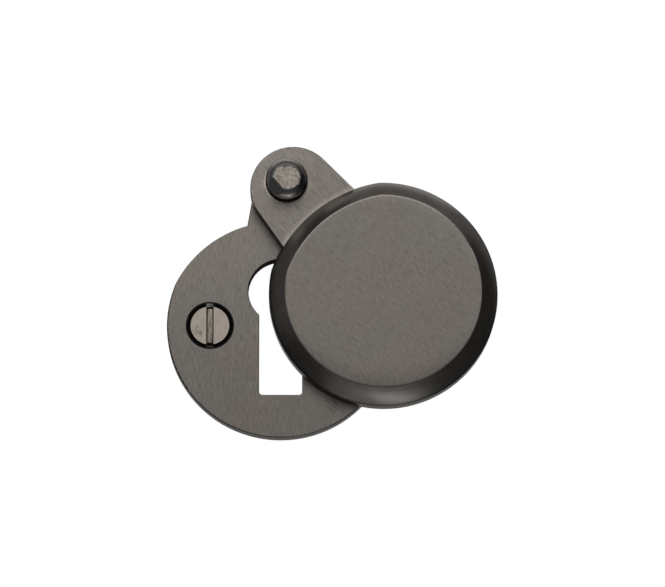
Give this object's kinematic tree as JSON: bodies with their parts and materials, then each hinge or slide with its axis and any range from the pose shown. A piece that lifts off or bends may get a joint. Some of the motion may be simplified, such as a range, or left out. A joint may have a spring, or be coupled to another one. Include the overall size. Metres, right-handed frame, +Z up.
{
  "type": "covered keyhole escutcheon",
  "caption": "Round back plate with a keyhole and a countersunk screw on each side, and a bevelled disc cover that swings aside on a rivet above it.",
  "frame": {"origin": "centre of the round plate's back face, midway between the two fixing screws", "axes": "as fixed on an upright door: +X to the viewer's right, +Z up, the front towards -Y and the screws towards +Y"},
  "size_m": [0.0476, 0.0213, 0.0424],
  "materials": {
    "plate_bronze": "brushed matt bronze, lacquered",
    "cover_bronze": "brushed matt bronze, lacquered",
    "rivet_bronze": "dark bronze, worn bright on top",
    "screw_bronze": "dark bronze, rubbed bright on the head"
  },
  "bodies": {
    "plate": {"back_plate": "plate_bronze", "pivot_rivet": "rivet_bronze", "left_screw": "screw_bronze", "right_screw": "screw_bronze"},
    "cover": {"swing_cover": "cover_bronze"}
  },
  "joints": [
    {"name": "cover_swing", "type": "hinge", "parent": "plate", "child": "cover", "pos_m": [0.00081, 0, 0.02068], "axis": [0, -1, 0], "continuous": true}
  ]
}
